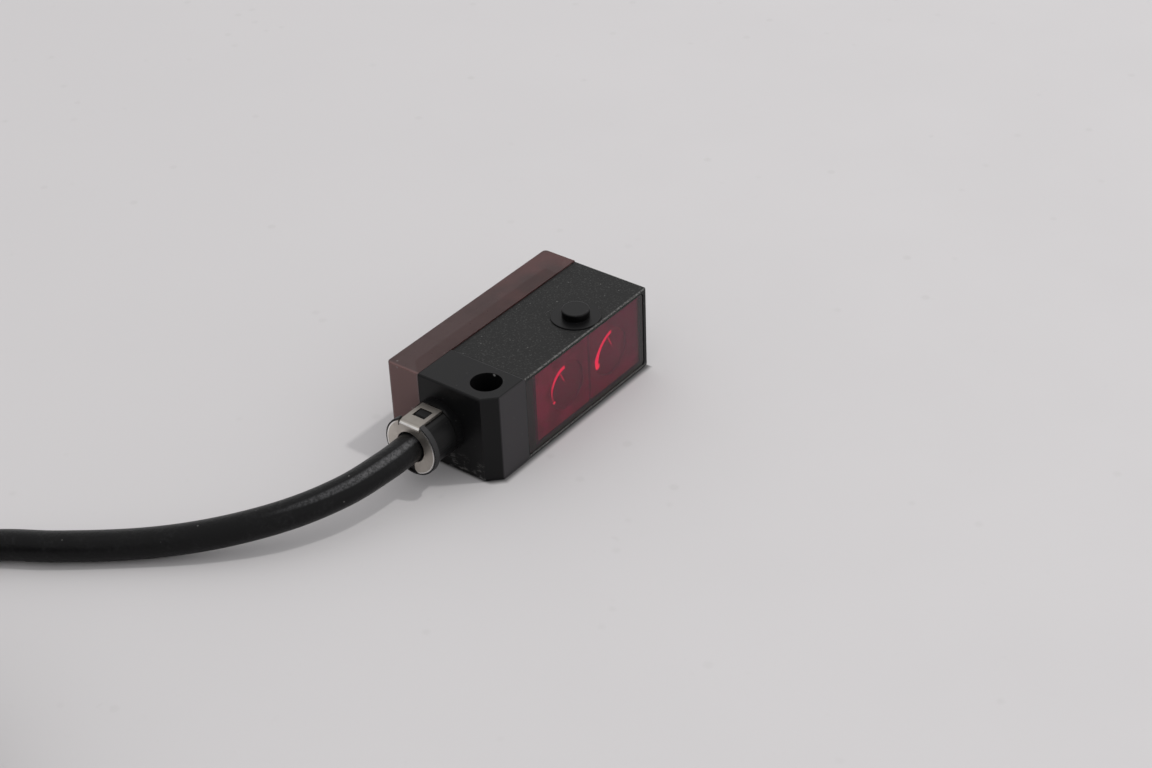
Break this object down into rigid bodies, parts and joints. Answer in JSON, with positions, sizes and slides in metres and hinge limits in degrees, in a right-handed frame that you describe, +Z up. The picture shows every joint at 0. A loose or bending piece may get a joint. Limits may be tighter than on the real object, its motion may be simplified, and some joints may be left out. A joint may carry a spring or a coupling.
{
  "type": "background suppression sensor",
  "caption": "Miniature rectangular background suppression sensor with a tinted window over its lenses, a smoked rear cover, a screw hole, a locating stud and a fixed cable.",
  "frame": {"origin": "bottom centre of the sensor with its cable clip, without the cord", "axes": "+X runs from the cable end to the far end, the window faces -Y, and +Z is up, out of the wide side with the stud"},
  "size_m": [0.1333, 0.0498, 0.0167],
  "materials": {
    "housing": "fine textured black moulding, smooth on the screw block",
    "cover": "smoked reddish translucent",
    "window": "wine-red tinted, clear",
    "carrier": "matte",
    "lens": "clear moulded",
    "board": "solder mask",
    "chip": "moulded package",
    "ceramic": "matte ceramic",
    "diode_red": "clear red",
    "diode_green": "clear green",
    "diode_yellow": "clear yellow",
    "grommet": "matte rubber",
    "clip": "satin stamped sheet",
    "jacket": "satin black cable jacket",
    "tie": "natural nylon",
    "wire_brown": "satin",
    "wire_white": "satin",
    "wire_blue": "satin",
    "wire_black": "satin"
  },
  "bodies": {
    "root": {"housing": "housing", "rear_cover": "cover", "front_window": "window", "optics_carrier": "carrier", "receiver_lens": "lens", "emitter_lens": "lens", "emitter_led": "diode_red", "receiver_photodiode": "chip", "circuit_board": "board", "indicator_led_green": "diode_green", "indicator_led_yellow": "diode_yellow", "output_transistor": "chip", "voltage_regulator": "chip", "microcontroller": "chip", "receiver_amplifier": "chip", "capacitor_1": "ceramic", "capacitor_2": "ceramic", "capacitor_3": "ceramic", "resistor_1": "chip", "resistor_2": "chip", "resistor_3": "chip", "resistor_4": "chip", "cable_grommet": "grommet", "cable_clip": "clip", "conductor_brown": "wire_brown", "conductor_white": "wire_white", "conductor_blue": "wire_blue", "conductor_black": "wire_black", "cable": "jacket", "cable_coil": "jacket", "cable_tail": "jacket", "lead_brown": "wire_brown", "lead_white": "wire_white", "lead_blue": "wire_blue", "lead_black": "wire_black", "coil_tie_1": "tie", "coil_tie_2": "tie"}
  },
  "joints": []
}
